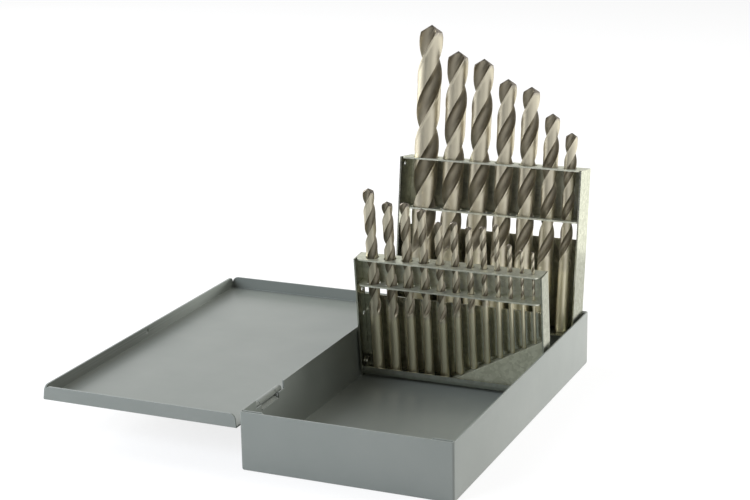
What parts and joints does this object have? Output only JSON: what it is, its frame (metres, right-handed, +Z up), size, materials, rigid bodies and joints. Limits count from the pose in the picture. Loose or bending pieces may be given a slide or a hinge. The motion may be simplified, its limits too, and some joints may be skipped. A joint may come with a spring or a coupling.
{
  "type": "drill bit case",
  "caption": "Folded steel drill index: open tray with a side-hinged lid and two fold-down racks that hold a graded set of loose twist drills by their shanks.",
  "frame": {"origin": "centre of the tray's flat underside", "axes": "+Z up, +Y from the tray's open front end to the racks at its back, +X from the lid's hinge side to the free side"},
  "size_m": [0.2068, 0.2042, 0.171],
  "materials": {
    "painted_sheet": "satin grey paint on folded steel sheet",
    "plated_sheet": "dull zinc plate with a faint spangle",
    "rivet_steel": "bare bright steel",
    "drill_steel": "ground high speed steel, slightly straw coloured"
  },
  "bodies": {
    "tray": {"base_tray": "painted_sheet", "front_hinge_pin": "rivet_steel", "rear_hinge_pin": "rivet_steel", "left_pivot_rail": "plated_sheet", "right_pivot_rail": "plated_sheet", "front_rack_rivets": "rivet_steel", "back_rack_rivets": "rivet_steel"},
    "lid": {"lid": "painted_sheet"},
    "front_rack": {"front_rack_frame": "plated_sheet", "front_rack_ramp": "plated_sheet", "front_rack_panel": "plated_sheet", "front_rack_channel": "plated_sheet"},
    "back_rack": {"back_rack_frame": "plated_sheet", "back_rack_panel": "plated_sheet", "back_rack_channel": "plated_sheet"},
    "front_drill_1": {"front_drill_1": "drill_steel"},
    "front_drill_2": {"front_drill_2": "drill_steel"},
    "front_drill_3": {"front_drill_3": "drill_steel"},
    "front_drill_4": {"front_drill_4": "drill_steel"},
    "front_drill_5": {"front_drill_5": "drill_steel"},
    "front_drill_6": {"front_drill_6": "drill_steel"},
    "front_drill_7": {"front_drill_7": "drill_steel"},
    "front_drill_8": {"front_drill_8": "drill_steel"},
    "front_drill_9": {"front_drill_9": "drill_steel"},
    "front_drill_10": {"front_drill_10": "drill_steel"},
    "front_drill_11": {"front_drill_11": "drill_steel"},
    "front_drill_12": {"front_drill_12": "drill_steel"},
    "back_drill_1": {"back_drill_1": "drill_steel"},
    "back_drill_2": {"back_drill_2": "drill_steel"},
    "back_drill_3": {"back_drill_3": "drill_steel"},
    "back_drill_4": {"back_drill_4": "drill_steel"},
    "back_drill_5": {"back_drill_5": "drill_steel"},
    "back_drill_6": {"back_drill_6": "drill_steel"},
    "back_drill_7": {"back_drill_7": "drill_steel"}
  },
  "joints": [
    {"name": "lid_hinge", "type": "hinge", "parent": "tray", "child": "lid", "pos_m": [-0.05295, 0, 0.024], "axis": [0, 1, 0], "range_deg": [0, 85]},
    {"name": "front_rack_fold", "type": "hinge", "parent": "tray", "child": "front_rack", "pos_m": [0, 0.038, 0.008], "axis": [1, 0, 0], "range_deg": [0, 84]},
    {"name": "back_rack_fold", "type": "hinge", "parent": "tray", "child": "back_rack", "pos_m": [0, 0.08, 0.017], "axis": [1, 0, 0], "range_deg": [0, 98]},
    {"name": "front_drill_1_lift", "type": "slide", "parent": "front_rack", "child": "front_drill_1", "axis": [0, -0.1045, 0.9945], "range_m": [0, 0.015]},
    {"name": "front_drill_2_lift", "type": "slide", "parent": "front_rack", "child": "front_drill_2", "axis": [0, -0.1045, 0.9945], "range_m": [0, 0.015]},
    {"name": "front_drill_3_lift", "type": "slide", "parent": "front_rack", "child": "front_drill_3", "axis": [0, -0.1045, 0.9945], "range_m": [0, 0.015]},
    {"name": "front_drill_4_lift", "type": "slide", "parent": "front_rack", "child": "front_drill_4", "axis": [0, -0.1045, 0.9945], "range_m": [0, 0.015]},
    {"name": "front_drill_5_lift", "type": "slide", "parent": "front_rack", "child": "front_drill_5", "axis": [0, -0.1045, 0.9945], "range_m": [0, 0.015]},
    {"name": "front_drill_6_lift", "type": "slide", "parent": "front_rack", "child": "front_drill_6", "axis": [0, -0.1045, 0.9945], "range_m": [0, 0.015]},
    {"name": "front_drill_7_lift", "type": "slide", "parent": "front_rack", "child": "front_drill_7", "axis": [0, -0.1045, 0.9945], "range_m": [0, 0.015]},
    {"name": "front_drill_8_lift", "type": "slide", "parent": "front_rack", "child": "front_drill_8", "axis": [0, -0.1045, 0.9945], "range_m": [0, 0.015]},
    {"name": "front_drill_9_lift", "type": "slide", "parent": "front_rack", "child": "front_drill_9", "axis": [0, -0.1045, 0.9945], "range_m": [0, 0.015]},
    {"name": "front_drill_10_lift", "type": "slide", "parent": "front_rack", "child": "front_drill_10", "axis": [0, -0.1045, 0.9945], "range_m": [0, 0.015]},
    {"name": "front_drill_11_lift", "type": "slide", "parent": "front_rack", "child": "front_drill_11", "axis": [0, -0.1045, 0.9945], "range_m": [0, 0.015]},
    {"name": "front_drill_12_lift", "type": "slide", "parent": "front_rack", "child": "front_drill_12", "axis": [0, -0.1045, 0.9945], "range_m": [0, 0.015]},
    {"name": "back_drill_1_lift", "type": "slide", "parent": "back_rack", "child": "back_drill_1", "axis": [0, 0.1392, 0.9903], "range_m": [0, 0.015]},
    {"name": "back_drill_2_lift", "type": "slide", "parent": "back_rack", "child": "back_drill_2", "axis": [0, 0.1392, 0.9903], "range_m": [0, 0.015]},
    {"name": "back_drill_3_lift", "type": "slide", "parent": "back_rack", "child": "back_drill_3", "axis": [0, 0.1392, 0.9903], "range_m": [0, 0.015]},
    {"name": "back_drill_4_lift", "type": "slide", "parent": "back_rack", "child": "back_drill_4", "axis": [0, 0.1392, 0.9903], "range_m": [0, 0.015]},
    {"name": "back_drill_5_lift", "type": "slide", "parent": "back_rack", "child": "back_drill_5", "axis": [0, 0.1392, 0.9903], "range_m": [0, 0.015]},
    {"name": "back_drill_6_lift", "type": "slide", "parent": "back_rack", "child": "back_drill_6", "axis": [0, 0.1392, 0.9903], "range_m": [0, 0.015]},
    {"name": "back_drill_7_lift", "type": "slide", "parent": "back_rack", "child": "back_drill_7", "axis": [0, 0.1392, 0.9903], "range_m": [0, 0.015]}
  ],
  "couplings": [
    {"joint": "back_rack_fold", "follows": "front_rack_fold", "ratio": 1.1667}
  ]
}
